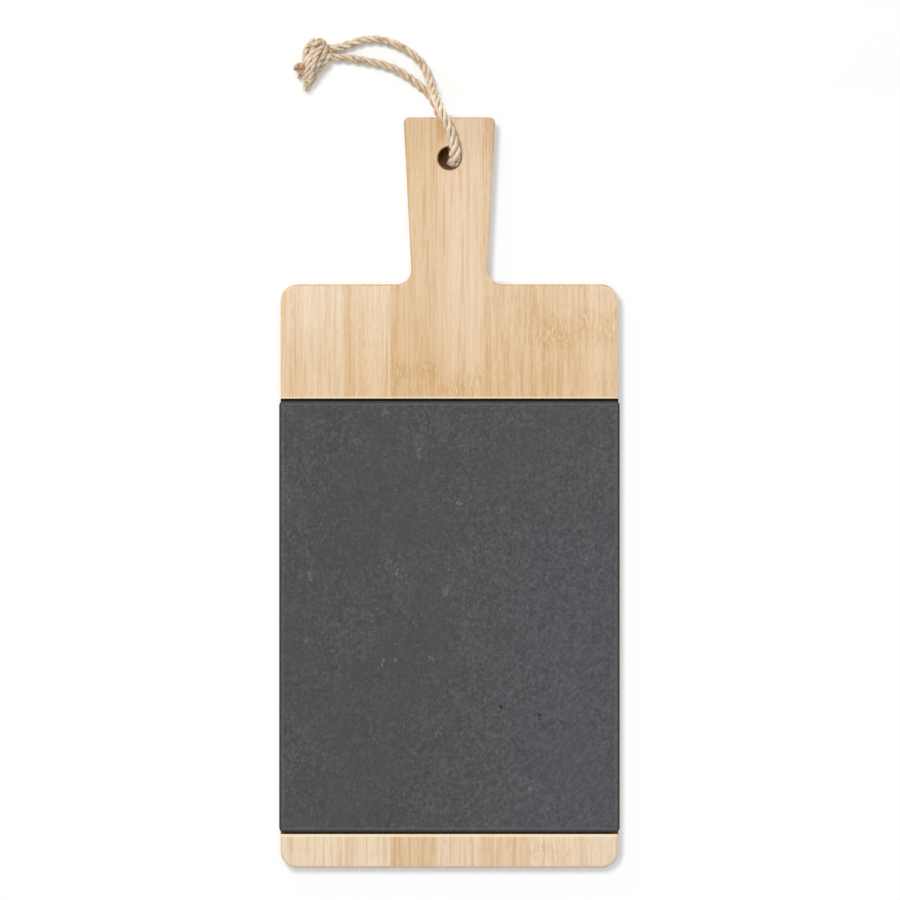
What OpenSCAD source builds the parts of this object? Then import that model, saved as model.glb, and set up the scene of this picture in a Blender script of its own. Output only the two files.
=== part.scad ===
// Slate serving board: a paddle of bamboo lamellas glued up in three plies, with a slate
// tile bonded into a dado cut across its face, rubber feet and a knotted hanging cord.
// Millimetres. +Y runs towards the handle, +Z up from the table, the board lies level.

/* [Board outline] */
// Width of the bamboo board
board_w = 180; // [150:1:240]
// Length of the handle, from the shoulders to its end
handle_l = 89; // [70:1:130]
// Width of the handle at its end
handle_end_w = 49; // [44:0.5:60]
// Width of the handle where its sides meet the shoulders
neck_w = 40; // [37:0.5:48]
// Length of the upper block, from the shoulders to the slate's dado
block_l = 61; // [40:1:90]
// Length of the strip below the slate
strip_l = 18; // [14:1:40]
// Radius of the board's four corners
corner_r = 9; // [4:0.5:13]
// Radius of the two corners at the handle's end
end_corner_r = 3; // [1.5:0.5:8]
// Radius of the hollow between the handle and each shoulder
neck_fillet_r = 8; // [4:0.5:14]
// Chamfer that eases the outer edges of both faces
arris = 1; // [0.4:0.1:2]

/* [Bamboo plies] */
// Thickness of the face ply, which is also the depth of the dado
face_t = 5; // [3.5:0.1:8]
// Thickness of the crosswise core ply
core_t = 5; // [3:0.1:8]
// Thickness of the back ply
back_t = 5; // [3:0.1:8]
// Width of the face ply's lamella at the left edge
face_left_w = 9.5; // [6:0.5:12]
// Width of the face ply's lamella at the right edge
face_right_w = 23.5; // [20:0.5:26]
// Width of wood between the hole and the face ply's joint on its left
face_hole_w = 1; // [0.5:0.1:3]
// Width that the neck has right of the face ply's joint in it
face_neck_w = 2.5; // [2:0.1:5]
// Width of the back ply's lamella at the left edge
back_left_w = 26; // [20:0.5:28]
// Width of the back ply's lamella at the right edge
back_right_w = 7; // [5:0.5:9]
// Width of wood between the hole and the back ply's joint on its right
back_hole_w = 3.5; // [1:0.1:6]
// Width that the neck has left of the back ply's joint in it
back_neck_w = 5; // [2:0.1:7]
// Width of the core ply's lamella below the slate
core_low_w = 23; // [15:0.5:30]
// Width that the core ply's lamella under the shoulders has on the block's side of them
core_shoulder_w = 18.5; // [12:0.5:24]
// Width of the core ply's lamella at the handle's end
core_end_w = 9.5; // [5:0.1:14]
// Chamfer along the two lips of the dado
lip_arris = 0.4; // [0.2:0.1:1]

/* [Slate tile] */
// Length of the slate tile
slate_l = 230; // [150:1:300]
// Thickness of the slate tile
slate_t = 4.5; // [3:0.1:7]
// How far the slate stands past the bamboo on each side
slate_overhang = 0.75; // [0:0.05:2]
// Open joint between the slate and each lip of the dado
slate_gap = 1; // [0.5:0.1:2]
// Radius of the slate's corners
slate_corner_r = 2.5; // [1.5:0.1:8]
// Chamfer that eases the slate's upper edges
slate_arris = 0.7; // [0.3:0.1:1.2]

/* [Adhesive beads] */
// Number of silicone beads under the slate
bead_n = 5; // [2:1:8]
// Width of a pressed bead
bead_w = 8; // [4:0.5:16]
// Thickness of a pressed bead
bead_t = 0.5; // [0.3:0.1:1]
// Bare length at each end of a bead
bead_end_gap = 14; // [5:1:40]

/* [Hanging hole] */
// Diameter of the hole through the handle
hole_d = 12; // [10:0.5:12.5]
// Distance from the handle's end to the centre of the hole
hole_from_end = 21.8; // [17:0.1:26]
// Chamfer at both mouths of the hole
hole_arris = 0.7; // [0.3:0.1:0.8]

/* [Feet] */
// Diameter of a foot where it is stuck to the bamboo
foot_d = 13; // [8:0.5:20]
// Diameter of a foot where it stands on the table
foot_tip_d = 10; // [6:0.5:18]
// Height of a foot
foot_h = 5; // [5:0.1:9]
// Rounding of a foot's lower edge
foot_round = 0.8; // [0.3:0.1:1.5]
// Distance from the board's sides and ends to the centre of a foot
foot_inset = 18; // [12:0.5:30]

/* [Hanging cord] */
// Diameter of the twisted cord
cord_d = 4.5; // [3:0.1:4.7]
// Length of the knot, across the cord
knot_l = 19; // [14:0.5:26]
// Width of the knot, along the cord
knot_w = 12.5; // [8:0.5:18]
// Height of the knot above the table
knot_h = 11; // [8:0.5:15]
// Rounding of the knot
knot_round = 3.5; // [2:0.5:4]
// Length of the tail that leaves the knot sideways
side_tail_l = 5; // [3:0.5:15]
// Length of the tail that leaves the knot downwards
down_tail_l = 8; // [3:0.5:20]

/* [Hidden] */
$fn = 96;
// How far a cutter runs past what it cuts
overrun = 0.5;
// Depth by which a round passes a slanted side, so that the two cross cleanly, and the
// angle by which the cutter of such a round runs past the place where it leaves the side
graze = 0.02;
lap_a = 8;

// Heights, from the table up
under_z = foot_h;
core_z = under_z + back_t;
floor_z = core_z + core_t;
top_z = floor_z + face_t;

// Lengths, from the middle of the board
half_w = board_w / 2;
dado_l = slate_l + 2 * slate_gap;
board_l = strip_l + dado_l + block_l + handle_l;
end_y = board_l / 2;
bottom_y = -end_y;
dado_low_y = bottom_y + strip_l;
dado_high_y = dado_low_y + dado_l;
shoulder_y = dado_high_y + block_l;
hole_y = end_y - hole_from_end;

// The handle's slanted side, its neck fillet and its end corner, all on the right
side_slope = (handle_end_w - neck_w) / 2 / handle_l;
side_a = atan(side_slope);
function side_x(y) = neck_w / 2 + (y - shoulder_y) * side_slope;
side_out = [cos(side_a), -sin(side_a)];
neck_y = shoulder_y + neck_fillet_r;
neck_tangent_c = [side_x(neck_y) + neck_fillet_r / cos(side_a), neck_y];
neck_c = neck_tangent_c - [graze, graze];
neck_top = neck_tangent_c - neck_fillet_r * side_out;
end_corner_y = end_y - end_corner_r;
end_c = [side_x(end_corner_y) - end_corner_r + graze, end_corner_y];
root_y = shoulder_y - corner_r;
block_c = [half_w - corner_r, shoulder_y - corner_r];
strip_c = [half_w - corner_r, bottom_y + corner_r];

// Lamellas on both sides of the one that holds the hole, in the face ply and the back ply,
// and in the core ply on both sides of its joint at the block's upper end
face_left_n = 4;
face_right_n = 3;
face_n = face_left_n + 1 + face_right_n;
back_left_n = 3;
back_right_n = 4;
back_n = back_left_n + 1 + back_right_n;
core_block_n = 12;
core_handle_n = 5;
core_n = core_block_n + core_handle_n;

// Joints between n lamellas of one width, from low up to high, without high
function joints(low, high, n) = [for (k = [0 : n - 1]) low + k * (high - low) / n];
face_hole_x = -hole_d / 2 - face_hole_w;
face_neck_x = neck_w / 2 - face_neck_w;
face_x = concat([-half_w], joints(face_left_w - half_w, face_hole_x, face_left_n - 1),
    [face_hole_x], joints(face_neck_x, half_w - face_right_w, face_right_n - 1),
    [half_w - face_right_w, half_w]);
back_hole_x = hole_d / 2 + back_hole_w;
back_neck_x = back_neck_w - neck_w / 2;
back_x = concat([-half_w], joints(back_left_w - half_w, back_neck_x, back_left_n - 1),
    [back_neck_x], joints(back_hole_x, half_w - back_right_w, back_right_n - 1),
    [half_w - back_right_w, half_w]);
core_root_y = shoulder_y - core_shoulder_w;
core_y = concat([bottom_y], joints(bottom_y + core_low_w, core_root_y, core_block_n - 1),
    joints(core_root_y, end_y - core_end_w, core_handle_n - 1), [end_y - core_end_w, end_y]);

// Slate tile
slate_w = board_w + 2 * slate_overhang;
slate_z = floor_z + bead_t;
slate_y = (dado_low_y + dado_high_y) / 2;
slate_c = [slate_w / 2 - slate_corner_r, slate_l / 2 - slate_corner_r];

// Feet: under the block's two corners and the strip's two corners
foot_x = half_w - foot_inset;
foot_high_y = shoulder_y - foot_inset;
foot_low_y = bottom_y + foot_inset;

// Cord: the centre line of its front leg, from the middle of the hole over the handle's
// end to the knot, and of its back leg, which passes under the handle
front_leg = [
    [2.8, 176.8, 12.6], [2.9, 177.1, 15.6], [3.0, 178.1, 18.0], [3.1, 179.6, 20.0],
    [3.1, 181.6, 21.5], [2.9, 183.9, 22.5], [2.5, 186.3, 22.8], [1.9, 188.8, 22.8],
    [1.1, 191.2, 22.6], [0.0, 194.0, 22.4], [-1.2, 196.7, 22.4], [-2.5, 199.4, 22.4],
    [-3.8, 202.2, 21.6], [-5.2, 205.2, 19.4], [-6.5, 208.1, 15.9], [-7.6, 210.9, 11.9],
    [-8.7, 213.9, 8.0], [-10.0, 217.6, 5.0], [-11.3, 221.8, 3.0], [-13.4, 226.6, 2.4],
    [-17.0, 231.2, 2.4], [-21.6, 235.0, 2.4], [-27.2, 238.2, 2.4], [-33.6, 240.6, 2.4],
    [-40.2, 241.6, 2.4], [-46.8, 241.0, 2.4], [-53.0, 239.0, 2.4], [-58.6, 237.2, 2.4],
    [-62.0, 236.8, 2.4], [-65.0, 236.8, 2.4]];
back_leg = [
    [2.8, 176.8, 12.6], [2.8, 177.1, 9.6], [2.7, 178.0, 7.2], [2.4, 179.5, 5.1],
    [1.9, 181.4, 3.6], [1.2, 183.7, 2.6], [0.3, 186.3, 2.3], [-1.0, 189.7, 2.3],
    [-2.8, 194.4, 2.3], [-4.7, 199.2, 2.3], [-6.4, 203.9, 2.4], [-8.4, 208.4, 2.4],
    [-11.2, 212.4, 2.4], [-14.8, 215.9, 2.4], [-19.0, 219.2, 2.4], [-23.6, 222.6, 2.4],
    [-29.0, 225.6, 2.4], [-35.2, 228.0, 2.4], [-42.0, 229.6, 2.4], [-49.0, 230.8, 2.4],
    [-55.8, 231.8, 2.4], [-62.0, 232.0, 2.4], [-65.0, 232.0, 2.4]];
cord_sides = 10;
cord_end = front_leg[len(front_leg) - 1];
cord_lie_z = cord_end.z;
knot_at = [cord_end.x - knot_w / 2, 232.5];
side_tail_at_share = -0.27;
down_tail_at_share = -0.25;

function numbered(name, n) = [for (i = [1 : n]) str(name, i)];

// Plan of a rectangle with round corners, centred on x
module rounded_plan(w, low, high, r) {
    translate([-w / 2 + r, low]) square([w - 2 * r, high - low]);
    translate([-w / 2, low + r]) square([w, high - low - 2 * r]);
    for (x = [-w / 2 + r, w / 2 - r], y = [low + r, high - r]) translate([x, y]) circle(r);
}

// Plan of the handle, from just inside the block to its end: a long rectangle with round
// corners between two slanted sides
module handle_plan() {
    past_y = end_y + overrun;
    intersection() {
        rounded_plan(2 * (end_c.x + end_corner_r), root_y - end_corner_r, end_y, end_corner_r);
        polygon([[-neck_w / 2, root_y], [neck_w / 2, root_y], [neck_w / 2, shoulder_y],
                 [side_x(past_y), past_y], [-side_x(past_y), past_y], [-neck_w / 2, shoulder_y]]);
    }
}

// Plan of the hollow fillet that joins the handle to the right shoulder
module neck_plan() {
    difference() {
        translate([0, root_y]) square([neck_c.x, neck_c.y - root_y]);
        translate(neck_c) circle(neck_fillet_r);
    }
}

module board_plan() {
    rounded_plan(board_w, bottom_y, shoulder_y, corner_r);
    handle_plan();
    neck_plan();
    mirror([1, 0]) neck_plan();
}

// Cutter for a chamfer of size c along a straight edge from p to q, which lies at the
// height z and has the outside on its right. up is 1 on a top face and -1 underneath.
module arris_run(p, q, z, c, up) {
    reach = c + overrun;
    translate([p.x, p.y, z])
        rotate([0, 0, atan2(q.y - p.y, q.x - p.x)])
            rotate([90, 0, 90])
                linear_extrude(norm(q - p))
                    polygon([[reach, up * overrun], [-overrun, -up * reach],
                             [-overrun, up * overrun]]);
}

// The same along an arc of radius r about at, from angle a to angle b. The material is
// inside the arc where side is 1, and outside it where side is -1.
module arris_arc(at, r, a, b, z, c, up, side) {
    reach = c + overrun;
    translate([at.x, at.y, z])
        rotate([0, 0, a])
            rotate_extrude(angle = b - a)
                polygon([[r - side * reach, up * overrun], [r + side * overrun, -up * reach],
                         [r + side * overrun, up * overrun]]);
}

// Chamfer round the whole outline of the board, at one face
module outline_arris(z, up) {
    arris_run([end_c.x, end_y], [-end_c.x, end_y], z, arris, up);
    arris_run([-strip_c.x, bottom_y], [strip_c.x, bottom_y], z, arris, up);
    for (s = [0, 1]) mirror([s, 0, 0]) {
        arris_arc(strip_c, corner_r, -90, 0, z, arris, up, 1);
        arris_run([half_w, strip_c.y], [half_w, block_c.y], z, arris, up);
        arris_arc(block_c, corner_r, 0, 90, z, arris, up, 1);
        arris_run([block_c.x, shoulder_y], [neck_c.x, shoulder_y], z, arris, up);
        arris_arc(neck_c, neck_fillet_r, 180 - side_a - lap_a, 270 + lap_a, z, arris, up, -1);
        arris_run(neck_top, [side_x(end_y), end_y], z, arris, up);
        arris_arc(end_c, end_corner_r, 0, 90, z, arris, up, 1);
    }
}

// The hole through the handle, and the chamfer at one of its mouths
module hole_bore() {
    translate([0, hole_y, under_z - overrun])
        cylinder(d = hole_d, h = top_z - under_z + 2 * overrun);
}

module hole_mouth(z, up) {
    arris_arc([0, hole_y], hole_d / 2, 0, 360, z, hole_arris, up, -1);
}

// Blank of one lamella: the board's plan within a rectangle, over the height of its ply
module lamella_blank(low, high, z, t) {
    translate([0, 0, z]) linear_extrude(t) intersection() {
        board_plan();
        translate(low) square(high - low);
    }
}

// A lamella of the face ply above the dado, which runs on into the handle
module face_lamella(i) {
    color("burlywood") difference() {
        lamella_blank([face_x[i - 1], dado_high_y], [face_x[i], end_y], floor_z, face_t);
        outline_arris(top_z, 1);
        arris_run([-half_w, dado_high_y], [half_w, dado_high_y], top_z, lip_arris, 1);
        hole_bore();
        hole_mouth(top_z, 1);
    }
}

// The rest of the same lamella, below the dado
module strip_lamella(i) {
    color("wheat") difference() {
        lamella_blank([face_x[i - 1], bottom_y], [face_x[i], dado_low_y], floor_z, face_t);
        outline_arris(top_z, 1);
        arris_run([half_w, dado_low_y], [-half_w, dado_low_y], top_z, lip_arris, 1);
    }
}

// A lamella of the core ply, which lies across the board
module core_lamella(i) {
    color("peru") difference() {
        lamella_blank([-half_w, core_y[i - 1]], [half_w, core_y[i]], core_z, core_t);
        hole_bore();
    }
}

// A lamella of the back ply, which runs the whole length of the board
module back_lamella(i) {
    color("tan") difference() {
        lamella_blank([back_x[i - 1], bottom_y], [back_x[i], end_y], under_z, back_t);
        outline_arris(under_z, -1);
        hole_bore();
        hole_mouth(under_z, -1);
    }
}

// Slate tile, eased along its upper edges, as wide as the board and a little more
module slate_tile() {
    high_z = slate_z + slate_t;
    color("dimgray") translate([0, slate_y, 0]) difference() {
        translate([0, 0, slate_z]) linear_extrude(slate_t)
            rounded_plan(slate_w, -slate_l / 2, slate_l / 2, slate_corner_r);
        for (s = [0, 1]) mirror([s, 0, 0]) {
            arris_arc(slate_c, slate_corner_r, 0, 90, high_z, slate_arris, 1, 1);
            arris_arc([slate_c.x, -slate_c.y], slate_corner_r, -90, 0, high_z, slate_arris, 1, 1);
            arris_run([slate_w / 2, -slate_c.y], [slate_w / 2, slate_c.y],
                high_z, slate_arris, 1);
        }
        arris_run([slate_c.x, slate_l / 2], [-slate_c.x, slate_l / 2], high_z, slate_arris, 1);
        arris_run([-slate_c.x, -slate_l / 2], [slate_c.x, -slate_l / 2], high_z, slate_arris, 1);
    }
}

// Pressed beads of silicone that hold the slate to the floor of the dado
module silicone_beads() {
    pitch = board_w / bead_n;
    run = slate_l / 2 - bead_end_gap - bead_w / 2;
    color("whitesmoke")
        for (k = [0 : bead_n - 1])
            translate([(k + 1 / 2) * pitch - half_w, slate_y, floor_z])
                linear_extrude(bead_t) {
                    square([bead_w, 2 * run], center = true);
                    for (y = [-run, run]) translate([0, y]) circle(d = bead_w);
                }
}

// Rubber foot, stuck to the underside
module foot(x, y) {
    tip_r = foot_tip_d / 2;
    color("darkslategray") translate([x, y, 0]) rotate_extrude()
        polygon([[0, 0], [tip_r - foot_round, 0], [tip_r, foot_round],
                 [foot_d / 2, foot_h], [0, foot_h]]);
}

// Direction of a route at its point i
function along(route, i) =
    let (last = len(route) - 1,
         step = route[min(i + 1, last)] - route[max(i - 1, 0)])
    step / norm(step);

// A cross direction that turns as little as it can along the route
function across(n, t) = let (m = n - (n * t) * t) m / norm(m);

// Tube of round section along a route. Both ends are square to the direction given.
module cord_tube(route, start_dir, end_dir) {
    last = len(route) - 1;
    dirs = [for (i = [0 : last]) i == 0 ? start_dir : i == last ? end_dir : along(route, i)];
    side = [for (i = 0, n = across([1, 0, 0], dirs[0]); i <= last;
                i = i + 1, n = across(n, dirs[min(i, last)])) n];
    ring = [for (i = [0 : last], k = [0 : cord_sides - 1])
        let (a = 360 * k / cord_sides)
        route[i] + cord_d / 2 * (cos(a) * side[i] + sin(a) * cross(dirs[i], side[i]))];
    n = cord_sides;
    walls = [for (i = [0 : last - 1], k = [0 : n - 1])
        let (a = i * n + k, b = i * n + (k + 1) % n)
        each [[a, a + n, b], [b, a + n, b + n]]];
    ends = [for (k = [1 : n - 2]) each [[0, k, k + 1],
        [last * n, last * n + k + 1, last * n + k]]];
    polyhedron(points = ring, faces = concat(walls, ends));
}

module cord_front_leg() {
    color("navajowhite") cord_tube(front_leg, [0, 0, 1], [-1, 0, 0]);
}

module cord_back_leg() {
    color("navajowhite") cord_tube(back_leg, [0, 0, -1], [-1, 0, 0]);
}

// Overhand knot of both ends, as a rounded block with flat sides for the cord to meet
module cord_knot() {
    low_z = cord_lie_z - cord_d / 2;
    color("wheat") translate([knot_at.x, knot_at.y, low_z])
        linear_extrude(knot_h - low_z)
            rounded_plan(knot_w, -knot_l / 2, knot_l / 2, knot_round);
}

module cord_side_tail() {
    color("navajowhite")
        translate([knot_at.x - knot_w / 2, knot_at.y + side_tail_at_share * knot_l, cord_lie_z])
            rotate([0, -90, 0]) cylinder(d = cord_d, h = side_tail_l);
}

module cord_down_tail() {
    color("navajowhite")
        translate([knot_at.x + down_tail_at_share * knot_w, knot_at.y - knot_l / 2, cord_lie_z])
            rotate([90, 0, 0]) cylinder(d = cord_d, h = down_tail_l);
}

for (i = [1 : face_n]) face_lamella(i);
for (i = [1 : face_n]) strip_lamella(i);
for (i = [1 : core_n]) core_lamella(i);
for (i = [1 : back_n]) back_lamella(i);
slate_tile();
silicone_beads();
foot(-foot_x, foot_high_y);  // foot_handle_left
foot(foot_x, foot_high_y);  // foot_handle_right
foot(-foot_x, foot_low_y);  // foot_strip_left
foot(foot_x, foot_low_y);  // foot_strip_right
cord_front_leg();
cord_back_leg();
cord_knot();
cord_side_tail();
cord_down_tail();
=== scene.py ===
import math

import bmesh
import bpy
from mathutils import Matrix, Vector, noise


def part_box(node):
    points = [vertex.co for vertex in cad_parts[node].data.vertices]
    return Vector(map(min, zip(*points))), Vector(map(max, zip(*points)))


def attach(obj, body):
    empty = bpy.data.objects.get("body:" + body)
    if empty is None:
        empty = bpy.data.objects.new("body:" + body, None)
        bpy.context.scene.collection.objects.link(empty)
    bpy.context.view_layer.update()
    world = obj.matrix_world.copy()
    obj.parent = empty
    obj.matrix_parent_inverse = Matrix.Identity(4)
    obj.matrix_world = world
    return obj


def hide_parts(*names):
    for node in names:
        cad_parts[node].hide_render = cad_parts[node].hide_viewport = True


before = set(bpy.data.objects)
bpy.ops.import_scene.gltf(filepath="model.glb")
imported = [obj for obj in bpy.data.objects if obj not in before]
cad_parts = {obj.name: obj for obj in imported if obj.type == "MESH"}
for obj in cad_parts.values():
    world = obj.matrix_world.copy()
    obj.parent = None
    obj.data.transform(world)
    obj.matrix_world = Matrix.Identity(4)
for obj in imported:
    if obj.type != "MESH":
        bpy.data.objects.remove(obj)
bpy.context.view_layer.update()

# The view: the photograph's, straight down on the board, square to the table, with the
# handle at the top. It is orthographic, because the photograph shows no perspective.
picture_width = 0.4797
picture_middle = (0.0003, 0.0227)


def set_out(name, data):
    """A new object in the scene."""
    made = bpy.data.objects.new(name, data)
    bpy.context.collection.objects.link(made)
    return made


view = set_out("view", bpy.data.cameras.new("view"))
view.data.type = "ORTHO"
view.data.ortho_scale = picture_width
view.location = (*picture_middle, 1.0)
bpy.context.scene.camera = view
bpy.context.scene.view_settings.view_transform = "Standard"


# The hanging cord: one length of three-strand jute, twisted right-handed, that goes up
# through the hole and over the handle's end on one side and out under the handle on the
# other. Both legs lie on the table as far as the knot.
strand_radius = 0.00108
strand_offset = 0.00117
cord_lay = 0.0160
knot_lay = 0.0125
strand_lay = 0.008
path_step = 0.0004
yarn_relief = 0.0003
fibre_length = 0.0017
fibre_share = 260000
front_leg_mm = [
    (2.8, 176.8, 12.6), (2.9, 177.1, 15.6), (3.0, 178.1, 18.0), (3.1, 179.6, 20.0),
    (3.1, 181.6, 21.5), (2.9, 183.9, 22.5), (2.5, 186.3, 22.8), (1.9, 188.8, 22.8),
    (1.1, 191.2, 22.6), (0.0, 194.0, 22.4), (-1.2, 196.7, 22.4), (-2.5, 199.4, 22.4),
    (-3.8, 202.2, 21.6), (-5.2, 205.2, 19.4), (-6.5, 208.1, 15.9), (-7.6, 210.9, 11.9),
    (-8.7, 213.9, 8.0), (-10.0, 217.6, 5.0), (-11.3, 221.8, 3.0), (-13.4, 226.6, 2.4),
    (-17.0, 231.2, 2.4), (-21.6, 235.0, 2.4), (-27.2, 238.2, 2.4), (-33.6, 240.6, 2.4),
    (-40.2, 241.6, 2.4), (-46.8, 241.0, 2.4), (-53.0, 239.0, 2.4), (-58.6, 237.2, 2.4),
    (-62.0, 236.8, 2.4), (-65.0, 236.8, 2.4)]
back_leg_mm = [
    (2.8, 176.8, 12.6), (2.8, 177.1, 9.6), (2.7, 178.0, 7.2), (2.4, 179.5, 5.1),
    (1.9, 181.4, 3.6), (1.2, 183.7, 2.6), (0.3, 186.3, 2.3), (-1.0, 189.7, 2.3),
    (-2.8, 194.4, 2.3), (-4.7, 199.2, 2.3), (-6.4, 203.9, 2.4), (-8.4, 208.4, 2.4),
    (-11.2, 212.4, 2.4), (-14.8, 215.9, 2.4), (-19.0, 219.2, 2.4), (-23.6, 222.6, 2.4),
    (-29.0, 225.6, 2.4), (-35.2, 228.0, 2.4), (-42.0, 229.6, 2.4), (-49.0, 230.8, 2.4),
    (-55.8, 231.8, 2.4), (-62.0, 232.0, 2.4), (-65.0, 232.0, 2.4)]


def metres(points_mm):
    return [Vector(p) / 1000 for p in points_mm]


def laid_path(corners, step=path_step):
    """Points every step along a smooth curve that passes through the corners."""
    ends = [2 * corners[0] - corners[1], *corners, 2 * corners[-1] - corners[-2]]
    points = []
    for before, start, end, after in zip(ends, ends[1:], ends[2:], ends[3:]):
        count = max(2, round((end - start).length / step))
        for i in range(count):
            t = i / count
            points.append(0.5 * (2 * start + (end - before) * t
                                 + (2 * before - 5 * start + 4 * end - after) * t ** 2
                                 + (3 * start - before - 3 * end + after) * t ** 3))
    return points + [corners[-1]]


def thread(name, paths):
    """A mesh of bare edges, one run for each path. A path is its points, how thick the cord is at
    each of them, how much wider it lies there, how far it is a cut end and how much paler it is,
    as bleached fibre and as painted light where it lies in shade."""
    mesh = bpy.data.meshes.new(name)
    points, edges = [], []
    extras = {"thick": [], "spread": [], "cut": [], "bleach_and_painted_light": []}
    for path in paths:
        edges += [(len(points) + i, len(points) + i + 1) for i in range(len(path["at"]) - 1)]
        points += path["at"]
        for key, usual in (("thick", 1.0), ("spread", 0.0), ("cut", 0.0), ("bleach_and_painted_light", 0.0)):
            extras[key] += path.get(key, [usual] * len(path["at"]))
    mesh.from_pydata(points, edges, [])
    for key, values in extras.items():
        mesh.attributes.new(key, "FLOAT", "POINT").data.foreach_set("value", values)
    return mesh


def place(tree, kind, inputs=(), out=0, **settings):
    """Puts a node in a tree, with its settings, and its inputs as values or links, and
    returns one of its outputs."""
    made = tree.nodes.new(kind)
    for key, value in settings.items():
        setattr(made, key, value)
    for key, value in dict(inputs).items():
        if isinstance(value, bpy.types.NodeSocket):
            tree.links.new(value, made.inputs[key])
        else:
            made.inputs[key].default_value = value
    return made.outputs[out]


def tree_of(*values):
    """The tree that the first output among some values is in."""
    return next(v.id_data for v in values if isinstance(v, bpy.types.NodeSocket))


def value_of(operation, *values):
    """The number that comes of an operation such as ADD, MINIMUM or SINE."""
    return place(tree_of(*values), "ShaderNodeMath", enumerate(values), operation=operation)


def times(*values):
    product = values[0]
    for value in values[1:]:
        product = value_of("MULTIPLY", product, value)
    return product


def plus(first, second):
    return value_of("ADD", first, second)


def minus(first, second):
    return value_of("SUBTRACT", first, second)


def unsigned(value):
    return value_of("ABSOLUTE", value)


def vector_of(operation, *values, out=0):
    """The vector that comes of an operation, or with out=1 the number, as of LENGTH."""
    return place(tree_of(*values), "ShaderNodeVectorMath", enumerate(values), out,
                 operation=operation)


def joined(*numbers):
    """A vector of up to three numbers."""
    return place(tree_of(*numbers), "ShaderNodeCombineXYZ", enumerate(numbers))


def split(vector):
    """The three numbers of a vector."""
    return place(vector.id_data, "ShaderNodeSeparateXYZ", {0: vector}).node.outputs


def finish(name, roughness, specular):
    """A new material, its tree, its shader and the place of each point on its piece."""
    material = bpy.data.materials.new(name)
    material.use_nodes = True
    tree = material.node_tree
    shader = tree.nodes["Principled BSDF"]
    shader.inputs["Roughness"].default_value = roughness
    shader.inputs["Specular IOR Level"].default_value = specular
    return material, tree, shader, place(tree, "ShaderNodeTexCoord", out="Object")


def cloud(at, scale, detail=2.0, roughness=0.5):
    """Noise about 0.5, stretched by a scale of three numbers."""
    return place(at.id_data, "ShaderNodeTexNoise",
                 {"Vector": vector_of("MULTIPLY", at, scale), "Scale": 1.0, "Detail": detail,
                  "Roughness": roughness})


def fade(value, start, end, low=0.0, high=1.0):
    """From low to high as the value goes from start to end."""
    return place(value.id_data, "ShaderNodeMapRange",
                 {"Value": value, "From Min": start, "From Max": end, "To Min": low,
                  "To Max": high}, interpolation_type="SMOOTHSTEP")


def light_of(tint):
    """A colour of three numbers from 0 to 255, as read off a screen, as light. Any other
    stays as it is."""
    if isinstance(tint, tuple) and len(tint) == 3:
        return [((v / 255 + 0.055) / 1.055) ** 2.4 for v in tint] + [1.0]
    return tint


def tinted(share, first, second, mode="MIX"):
    """The first colour, with a share of the second one mixed in or multiplied on."""
    return place(tree_of(share, first, second), "ShaderNodeMix",
                 {0: share, 6: light_of(first), 7: light_of(second)}, 2,
                 data_type="RGBA", blend_type=mode)


def kept(tree, name, out="Fac"):
    """An attribute of the piece's own mesh."""
    return place(tree, "ShaderNodeAttribute", (), out, attribute_name=name)


def surfaced(shader, tint, height, distance, strength, rough=None):
    """Gives a shader its colour, its fine relief and, where it varies, its roughness."""
    tree = shader.id_data
    bump = place(tree, "ShaderNodeBump",
                 {"Height": height, "Distance": distance, "Strength": strength})
    tree.links.new(tint, shader.inputs["Base Color"])
    tree.links.new(bump, shader.inputs["Normal"])
    if rough is not None:
        tree.links.new(rough, shader.inputs["Roughness"])


jute, tree, shader, where = finish("jute", roughness=0.88, specular=0.25)
along = kept(tree, "along")
bleach_and_painted_light = kept(tree, "bleach_and_painted_light")
turned = place(tree, "ShaderNodeVectorRotate",
               {"Vector": kept(tree, "section", "Vector"),
                "Angle": times(along, -2 * math.pi / strand_lay)}, rotation_type="Z_AXIS")
fibre_at = vector_of("ADD", turned, joined(0.0, 0.0, times(along, 60.0)))
fibres = cloud(fibre_at, (5.0, 5.0, 1.0), detail=4.0, roughness=0.7)
patches = cloud(where, (330.0, 330.0, 330.0), detail=3.0)
straw = tinted(fade(fibres, 0.32, 0.64), (194, 166, 130), (238, 218, 193))
straw = tinted(fade(patches, 0.50, 0.68, 0.0, 0.7), straw, (160, 136, 102))
straw = tinted(fade(patches, 0.46, 0.34, 0.0, 0.6), straw, (246, 224, 200))
straw = tinted(fade(fibres, 0.38, 0.28, 0.0, 0.6), straw, (122, 98, 68))
# Paler where the fibres are bleached, and painted light on fibres that lie in shade
straw = tinted(times(bleach_and_painted_light, 0.6), straw, (250, 232, 212))
# Painted shade darkens the grooves between the strands, less where the cord is paler
painted_groove_shade = times(fade(kept(tree, "depth"), 0.78, 0.46, 0.0, 0.58),
                minus(1.0, times(bleach_and_painted_light, 0.75)))
straw = tinted(painted_groove_shade, straw, (122, 102, 77))
singed = times(kept(tree, "cut"), fade(fibres, 0.30, 0.62, 1.0, 0.45))
straw = tinted(singed, straw, (202, 154, 98))
surfaced(shader, straw, fibres, 0.00018, 0.8)
shader.inputs["Sheen Weight"].default_value = 0.15


def new_tree(name, sizes):
    """A Geometry Nodes tree with named inputs, its input node and its output node."""
    tree = bpy.data.node_groups.new(name, "GeometryNodeTree")
    tree.interface.new_socket("Geometry", in_out="INPUT", socket_type="NodeSocketGeometry")
    for key, kind in sizes.items():
        tree.interface.new_socket(key, in_out="INPUT", socket_type="NodeSocket" + kind)
    tree.interface.new_socket("Geometry", in_out="OUTPUT", socket_type="NodeSocketGeometry")
    return tree, tree.nodes.new("NodeGroupInput").outputs, tree.nodes.new("NodeGroupOutput")


def carried(tree, name, kind="FLOAT"):
    """A value that the points carry."""
    return place(tree, "GeometryNodeInputNamedAttribute", {"Name": name}, data_type=kind)


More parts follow.
